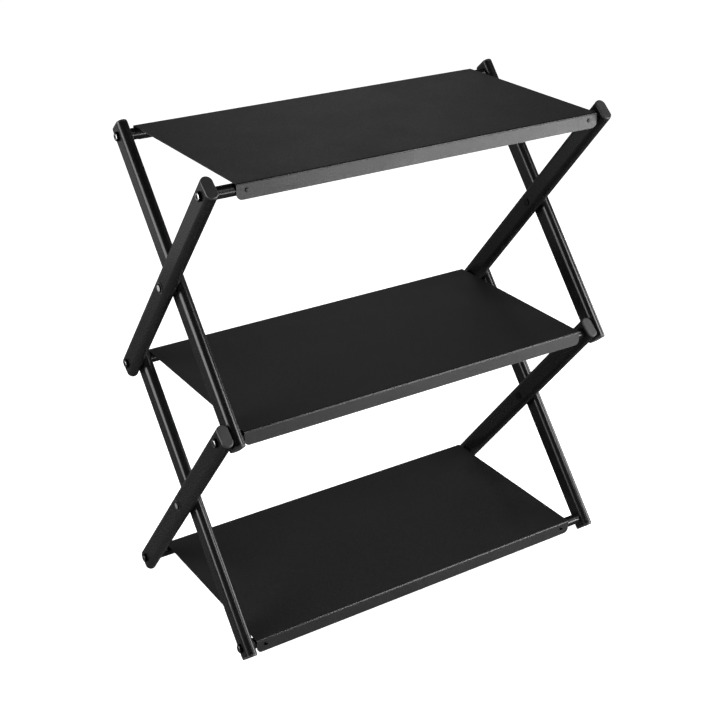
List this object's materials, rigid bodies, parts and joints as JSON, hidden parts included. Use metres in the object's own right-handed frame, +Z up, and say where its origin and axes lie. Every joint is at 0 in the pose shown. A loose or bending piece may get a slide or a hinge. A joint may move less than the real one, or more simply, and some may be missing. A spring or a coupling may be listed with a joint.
{
  "type": "folding shelf rack",
  "caption": "Free-standing folding rack: sheet-steel shelves on stacked scissor legs of flat-oval tube. It folds flat once the shelves are lifted.",
  "frame": {"origin": "on the floor, under the middle of the open rack", "axes": "+Z up, +X to the right along the shelves, +Y to the back"},
  "size_m": [0.6948, 0.3482, 0.759],
  "materials": {
    "frame_paint": "satin black powder coat",
    "shelf_paint": "fine-textured black powder coat",
    "cap_plastic": "moulded black polyethylene",
    "screw_black": "glossy black-coated steel",
    "rivet_steel": "nickel-plated steel",
    "nylon": "black nylon",
    "insert_steel": "zinc-plated steel"
  },
  "bodies": {
    "bottom_front_pivots": {"bottom_front_pivot_screws": "screw_black", "bottom_front_inserts": "insert_steel", "bottom_front_bushes": "nylon"},
    "lower_aft_legs": {"lower_aft_leg_left": "frame_paint", "lower_aft_leg_left_caps": "cap_plastic", "lower_aft_leg_right": "frame_paint", "lower_aft_leg_right_caps": "cap_plastic", "lower_crossing_rivet_left": "rivet_steel", "lower_crossing_rivet_right": "rivet_steel", "lower_crossing_washers": "nylon", "back_elbow_washers": "nylon"},
    "lower_fore_legs": {"lower_fore_leg_left": "frame_paint", "lower_fore_leg_left_caps": "cap_plastic", "lower_fore_leg_right": "frame_paint", "lower_fore_leg_right_caps": "cap_plastic", "bottom_back_tube": "frame_paint", "bottom_back_pivot_screws": "screw_black", "bottom_back_inserts": "insert_steel", "bottom_back_bushes": "nylon", "middle_front_tube": "frame_paint", "middle_front_pivot_screws": "screw_black", "middle_front_inserts": "insert_steel", "middle_front_bushes": "nylon", "front_elbow_washers": "nylon"},
    "upper_fore_legs": {"upper_fore_leg_left": "frame_paint", "upper_fore_leg_left_caps": "cap_plastic", "upper_fore_leg_right": "frame_paint", "upper_fore_leg_right_caps": "cap_plastic", "upper_crossing_rivet_left": "rivet_steel", "upper_crossing_rivet_right": "rivet_steel", "upper_crossing_washers": "nylon"},
    "upper_aft_legs": {"upper_aft_leg_left": "frame_paint", "upper_aft_leg_left_caps": "cap_plastic", "upper_aft_leg_right": "frame_paint", "upper_aft_leg_right_caps": "cap_plastic", "top_back_tube": "frame_paint", "top_back_pivot_screws": "screw_black", "top_back_inserts": "insert_steel", "top_back_bushes": "nylon"},
    "middle_back_pivots": {"middle_back_pivot_screws": "screw_black", "middle_back_inserts": "insert_steel", "middle_back_bushes": "nylon"},
    "top_front_pivots": {"top_front_pivot_screws": "screw_black", "top_front_inserts": "insert_steel", "top_front_bushes": "nylon"},
    "bottom_shelf": {"bottom_shelf": "shelf_paint", "bottom_shelf_screws": "screw_black", "bottom_front_tube": "frame_paint"},
    "middle_shelf": {"middle_shelf": "shelf_paint", "middle_shelf_screws": "screw_black", "middle_back_tube": "frame_paint"},
    "top_shelf": {"top_shelf": "shelf_paint", "top_shelf_screws": "screw_black", "top_front_tube": "frame_paint"}
  },
  "joints": [
    {"name": "fold", "type": "hinge", "parent": "bottom_front_pivots", "child": "lower_aft_legs", "pos_m": [0, -0.15, 0.02423], "axis": [1, 0, 0], "range_deg": [0, 35]},
    {"name": "lower_crossing", "type": "hinge", "parent": "lower_aft_legs", "child": "lower_fore_legs", "pos_m": [0, 0, 0.20187], "axis": [-1, 0, 0], "range_deg": [0, 70]},
    {"name": "back_elbow", "type": "hinge", "parent": "lower_aft_legs", "child": "upper_fore_legs", "pos_m": [0, 0.15, 0.37951], "axis": [-1, 0, 0], "range_deg": [0, 70]},
    {"name": "front_elbow", "type": "hinge", "parent": "lower_fore_legs", "child": "upper_aft_legs", "pos_m": [0, -0.15, 0.37951], "axis": [1, 0, 0], "range_deg": [0, 70]},
    {"name": "middle_shelf_level", "type": "hinge", "parent": "lower_aft_legs", "child": "middle_back_pivots", "pos_m": [0, 0.15, 0.37951], "axis": [-1, 0, 0], "range_deg": [0, 35]},
    {"name": "top_shelf_level", "type": "hinge", "parent": "upper_fore_legs", "child": "top_front_pivots", "pos_m": [0, -0.15, 0.73479], "axis": [1, 0, 0], "range_deg": [0, 35]},
    {"name": "bottom_shelf_lift", "type": "hinge", "parent": "bottom_front_pivots", "child": "bottom_shelf", "pos_m": [0, -0.15, 0.02423], "axis": [1, 0, 0], "range_deg": [0, 90]},
    {"name": "middle_shelf_lift", "type": "hinge", "parent": "middle_back_pivots", "child": "middle_shelf", "pos_m": [0, 0.15, 0.37951], "axis": [-1, 0, 0], "range_deg": [0, 90]},
    {"name": "top_shelf_lift", "type": "hinge", "parent": "top_front_pivots", "child": "top_shelf", "pos_m": [0, -0.15, 0.73479], "axis": [1, 0, 0], "range_deg": [0, 90]}
  ],
  "couplings": [
    {"joint": "lower_crossing", "follows": "fold", "ratio": 2},
    {"joint": "back_elbow", "follows": "fold", "ratio": 2},
    {"joint": "front_elbow", "follows": "fold", "ratio": 2},
    {"joint": "middle_shelf_level", "follows": "fold", "ratio": 1},
    {"joint": "top_shelf_level", "follows": "fold", "ratio": 1}
  ]
}
